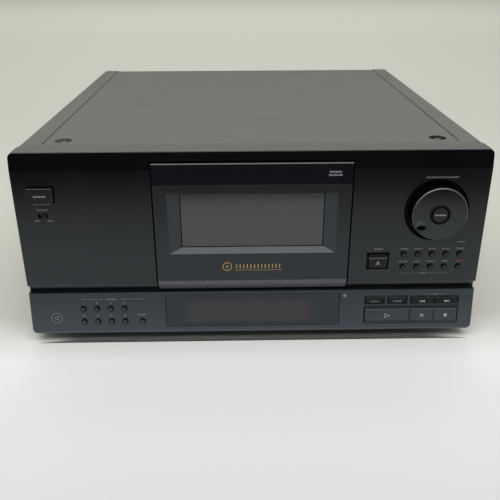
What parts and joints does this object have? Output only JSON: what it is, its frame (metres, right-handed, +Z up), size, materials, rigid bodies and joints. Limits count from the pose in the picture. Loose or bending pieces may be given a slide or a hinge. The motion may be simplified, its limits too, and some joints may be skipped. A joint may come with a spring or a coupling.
{
  "type": "compact disc mega changer",
  "caption": "Hi-fi disc changer: steel cabinet, drop-down window door, jog dial and rotary disc table with a centre player.",
  "frame": {"origin": "on the surface the feet stand on, under the middle of the whole object's box", "axes": "+Z up, +Y from the front panel to the back, +X to the right as seen from the front"},
  "size_m": [0.43, 0.4698, 0.1895],
  "materials": {
    "cover_steel": "satin textured grey paint",
    "zinc_steel": "zinc-plated sheet steel",
    "black_steel": "satin black paint",
    "screw_steel": "black-plated steel",
    "front_plastic": "fine-textured charcoal moulding",
    "foot_plastic": "matt black",
    "door_plastic": "fine-textured charcoal moulding",
    "gloss_black": "polished black",
    "smoked_window": "smoked clear plastic",
    "display_tint": "dark tinted acrylic",
    "display_glass": "dark red-brown display filter",
    "board": "printed circuit board",
    "key_plastic": "satin charcoal keys",
    "dial_plastic": "satin charcoal with a polished bevel",
    "table_plastic": "moulded black plastic",
    "base_plastic": "moulded dark grey plastic",
    "gear_plastic": "natural acetal",
    "motor_steel": "drawn steel can",
    "mech_plastic": "moulded frame",
    "turntable_plastic": "grey moulding",
    "core_steel": "varnished laminated steel",
    "jack_plastic": "black socket block",
    "gland_plastic": "black bushing"
  },
  "bodies": {
    "cabinet": {"chassis_pan": "zinc_steel", "rear_panel": "black_steel", "top_cover": "cover_steel", "cover_screws": "screw_steel", "feet": "foot_plastic", "front_panel": "front_plastic", "display_window": "display_tint", "display_tube": "display_glass", "control_board": "board", "selector_board": "board", "table_base": "base_plastic", "table_motor": "motor_steel", "mech_frame": "mech_plastic", "spindle_motor": "motor_steel", "power_transformer": "core_steel", "main_board": "board", "line_out_jacks": "jack_plastic", "control_jacks": "jack_plastic", "cord_gland": "gland_plastic"},
    "door": {"door_panel": "door_plastic", "door_window": "smoked_window", "door_strip": "gloss_black"},
    "power_button": {"power_button": "key_plastic"},
    "eject_button": {"eject_button": "key_plastic"},
    "mode_button_1": {"mode_button_1": "key_plastic"},
    "mode_button_2": {"mode_button_2": "key_plastic"},
    "mode_button_3": {"mode_button_3": "key_plastic"},
    "mode_button_4": {"mode_button_4": "key_plastic"},
    "mode_button_5": {"mode_button_5": "key_plastic"},
    "mode_button_6": {"mode_button_6": "key_plastic"},
    "mode_button_7": {"mode_button_7": "key_plastic"},
    "mode_button_8": {"mode_button_8": "key_plastic"},
    "mode_button_9": {"mode_button_9": "key_plastic"},
    "mode_button_10": {"mode_button_10": "key_plastic"},
    "group_button_1": {"group_button_1": "key_plastic"},
    "group_button_2": {"group_button_2": "key_plastic"},
    "group_button_3": {"group_button_3": "key_plastic"},
    "group_button_4": {"group_button_4": "key_plastic"},
    "group_button_5": {"group_button_5": "key_plastic"},
    "group_button_6": {"group_button_6": "key_plastic"},
    "group_button_7": {"group_button_7": "key_plastic"},
    "group_button_8": {"group_button_8": "key_plastic"},
    "group_file_button": {"group_file_button": "key_plastic"},
    "time_key": {"time_key": "key_plastic"},
    "repeat_key": {"repeat_key": "key_plastic"},
    "skip_back_key": {"skip_back_key": "key_plastic"},
    "skip_forward_key": {"skip_forward_key": "key_plastic"},
    "play_key": {"play_key": "key_plastic"},
    "pause_key": {"pause_key": "key_plastic"},
    "stop_key": {"stop_key": "key_plastic"},
    "enter_button": {"enter_button": "key_plastic"},
    "timer_switch": {"timer_switch_knob": "key_plastic"},
    "jog_dial": {"jog_dial": "dial_plastic"},
    "rotary_table": {"rotary_table": "table_plastic"},
    "table_pinion": {"table_pinion": "gear_plastic"},
    "optical_pickup": {"optical_pickup": "mech_plastic"},
    "disc_turntable": {"disc_turntable": "turntable_plastic"},
    "clamp_arm": {"clamp_arm": "turntable_plastic"},
    "loading_lever": {"loading_lever": "turntable_plastic"}
  },
  "joints": [
    {"name": "door_hinge", "type": "hinge", "parent": "cabinet", "child": "door", "pos_m": [0, -0.2146, 0.0605], "axis": [1, 0, 0], "range_deg": [0, 70]},
    {"name": "power_button_press", "type": "slide", "parent": "cabinet", "child": "power_button", "axis": [0, 1, 0], "range_m": [0, 0.0025], "stiffness_N_per_m": 1200, "springref_m": -0.00167},
    {"name": "eject_button_press", "type": "slide", "parent": "cabinet", "child": "eject_button", "axis": [0, 1, 0], "range_m": [0, 0.0025], "stiffness_N_per_m": 800, "springref_m": -0.00187},
    {"name": "mode_button_1_press", "type": "slide", "parent": "cabinet", "child": "mode_button_1", "axis": [0, 1, 0], "range_m": [0, 0.0009], "stiffness_N_per_m": 1333.3, "springref_m": -0.0006},
    {"name": "mode_button_2_press", "type": "slide", "parent": "cabinet", "child": "mode_button_2", "axis": [0, 1, 0], "range_m": [0, 0.0009], "stiffness_N_per_m": 1333.3, "springref_m": -0.0006},
    {"name": "mode_button_3_press", "type": "slide", "parent": "cabinet", "child": "mode_button_3", "axis": [0, 1, 0], "range_m": [0, 0.0009], "stiffness_N_per_m": 1333.3, "springref_m": -0.0006},
    {"name": "mode_button_4_press", "type": "slide", "parent": "cabinet", "child": "mode_button_4", "axis": [0, 1, 0], "range_m": [0, 0.0009], "stiffness_N_per_m": 1333.3, "springref_m": -0.0006},
    {"name": "mode_button_5_press", "type": "slide", "parent": "cabinet", "child": "mode_button_5", "axis": [0, 1, 0], "range_m": [0, 0.0009], "stiffness_N_per_m": 1333.3, "springref_m": -0.0006},
    {"name": "mode_button_6_press", "type": "slide", "parent": "cabinet", "child": "mode_button_6", "axis": [0, 1, 0], "range_m": [0, 0.0009], "stiffness_N_per_m": 1333.3, "springref_m": -0.0006},
    {"name": "mode_button_7_press", "type": "slide", "parent": "cabinet", "child": "mode_button_7", "axis": [0, 1, 0], "range_m": [0, 0.0009], "stiffness_N_per_m": 1333.3, "springref_m": -0.0006},
    {"name": "mode_button_8_press", "type": "slide", "parent": "cabinet", "child": "mode_button_8", "axis": [0, 1, 0], "range_m": [0, 0.0009], "stiffness_N_per_m": 1333.3, "springref_m": -0.0006},
    {"name": "mode_button_9_press", "type": "slide", "parent": "cabinet", "child": "mode_button_9", "axis": [0, 1, 0], "range_m": [0, 0.0009], "stiffness_N_per_m": 1333.3, "springref_m": -0.0006},
    {"name": "mode_button_10_press", "type": "slide", "parent": "cabinet", "child": "mode_button_10", "axis": [0, 1, 0], "range_m": [0, 0.0009], "stiffness_N_per_m": 1333.3, "springref_m": -0.0006},
    {"name": "group_button_1_press", "type": "slide", "parent": "cabinet", "child": "group_button_1", "axis": [0, 0.993, -0.1179], "range_m": [0, 0.0009], "stiffness_N_per_m": 1333.3, "springref_m": -0.0006},
    {"name": "group_button_2_press", "type": "slide", "parent": "cabinet", "child": "group_button_2", "axis": [0, 0.993, -0.1179], "range_m": [0, 0.0009], "stiffness_N_per_m": 1333.3, "springref_m": -0.0006},
    {"name": "group_button_3_press", "type": "slide", "parent": "cabinet", "child": "group_button_3", "axis": [0, 0.993, -0.1179], "range_m": [0, 0.0009], "stiffness_N_per_m": 1333.3, "springref_m": -0.0006},
    {"name": "group_button_4_press", "type": "slide", "parent": "cabinet", "child": "group_button_4", "axis": [0, 0.993, -0.1179], "range_m": [0, 0.0009], "stiffness_N_per_m": 1333.3, "springref_m": -0.0006},
    {"name": "group_button_5_press", "type": "slide", "parent": "cabinet", "child": "group_button_5", "axis": [0, 0.993, -0.1179], "range_m": [0, 0.0009], "stiffness_N_per_m": 1333.3, "springref_m": -0.0006},
    {"name": "group_button_6_press", "type": "slide", "parent": "cabinet", "child": "group_button_6", "axis": [0, 0.993, -0.1179], "range_m": [0, 0.0009], "stiffness_N_per_m": 1333.3, "springref_m": -0.0006},
    {"name": "group_button_7_press", "type": "slide", "parent": "cabinet", "child": "group_button_7", "axis": [0, 0.993, -0.1179], "range_m": [0, 0.0009], "stiffness_N_per_m": 1333.3, "springref_m": -0.0006},
    {"name": "group_button_8_press", "type": "slide", "parent": "cabinet", "child": "group_button_8", "axis": [0, 0.993, -0.1179], "range_m": [0, 0.0009], "stiffness_N_per_m": 1333.3, "springref_m": -0.0006},
    {"name": "group_file_button_press", "type": "slide", "parent": "cabinet", "child": "group_file_button", "axis": [0, 0.993, -0.1179], "range_m": [0, 0.0009], "stiffness_N_per_m": 1333.3, "springref_m": -0.0006},
    {"name": "time_key_press", "type": "slide", "parent": "cabinet", "child": "time_key", "axis": [0, 0.993, -0.1179], "range_m": [0, 0.0009], "stiffness_N_per_m": 1333.3, "springref_m": -0.0006},
    {"name": "repeat_key_press", "type": "slide", "parent": "cabinet", "child": "repeat_key", "axis": [0, 0.993, -0.1179], "range_m": [0, 0.0009], "stiffness_N_per_m": 1333.3, "springref_m": -0.0006},
    {"name": "skip_back_key_press", "type": "slide", "parent": "cabinet", "child": "skip_back_key", "axis": [0, 0.993, -0.1179], "range_m": [0, 0.0009], "stiffness_N_per_m": 1333.3, "springref_m": -0.0006},
    {"name": "skip_forward_key_press", "type": "slide", "parent": "cabinet", "child": "skip_forward_key", "axis": [0, 0.993, -0.1179], "range_m": [0, 0.0009], "stiffness_N_per_m": 1333.3, "springref_m": -0.0006},
    {"name": "play_key_press", "type": "slide", "parent": "cabinet", "child": "play_key", "axis": [0, 0.993, -0.1179], "range_m": [0, 0.0009], "stiffness_N_per_m": 1333.3, "springref_m": -0.0006},
    {"name": "pause_key_press", "type": "slide", "parent": "cabinet", "child": "pause_key", "axis": [0, 0.993, -0.1179], "range_m": [0, 0.0009], "stiffness_N_per_m": 1333.3, "springref_m": -0.0006},
    {"name": "stop_key_press", "type": "slide", "parent": "cabinet", "child": "stop_key", "axis": [0, 0.993, -0.1179], "range_m": [0, 0.0009], "stiffness_N_per_m": 1333.3, "springref_m": -0.0006},
    {"name": "enter_button_press", "type": "slide", "parent": "cabinet", "child": "enter_button", "axis": [0, 1, 0], "range_m": [0, 0.0012], "stiffness_N_per_m": 1250, "springref_m": -0.0008},
    {"name": "timer_switch_slide", "type": "slide", "parent": "cabinet", "child": "timer_switch", "axis": [1, 0, 0], "range_m": [-0.003, 0]},
    {"name": "jog_dial_turn", "type": "hinge", "parent": "cabinet", "child": "jog_dial", "pos_m": [0.1686, -0.2226, 0.1329], "axis": [0, -1, 0], "continuous": true},
    {"name": "table_turn", "type": "hinge", "parent": "cabinet", "child": "rotary_table", "pos_m": [0, 0.01165, 0.024], "axis": [0, 0, 1], "continuous": true},
    {"name": "pinion_turn", "type": "hinge", "parent": "cabinet", "child": "table_pinion", "pos_m": [-0.15107, -0.13942, 0.024], "axis": [0, 0, 1], "continuous": true},
    {"name": "pickup_slide", "type": "slide", "parent": "cabinet", "child": "optical_pickup", "axis": [0, 0, -1], "range_m": [0, 0.034]},
    {"name": "spindle_turn", "type": "hinge", "parent": "cabinet", "child": "disc_turntable", "pos_m": [0, 0.01165, 0.092], "axis": [1, 0, 0], "continuous": true},
    {"name": "lever_swing", "type": "hinge", "parent": "cabinet", "child": "loading_lever", "pos_m": [0, 0.21131, 0.1575], "axis": [-1, 0, 0], "range_deg": [0, 55]},
    {"name": "clamp_swing", "type": "hinge", "parent": "cabinet", "child": "clamp_arm", "pos_m": [0.012, 0.01165, 0.138], "axis": [0, -1, 0], "range_deg": [0, 8]}
  ],
  "couplings": [
    {"joint": "pinion_turn", "follows": "table_turn", "ratio": -9.75}
  ]
}
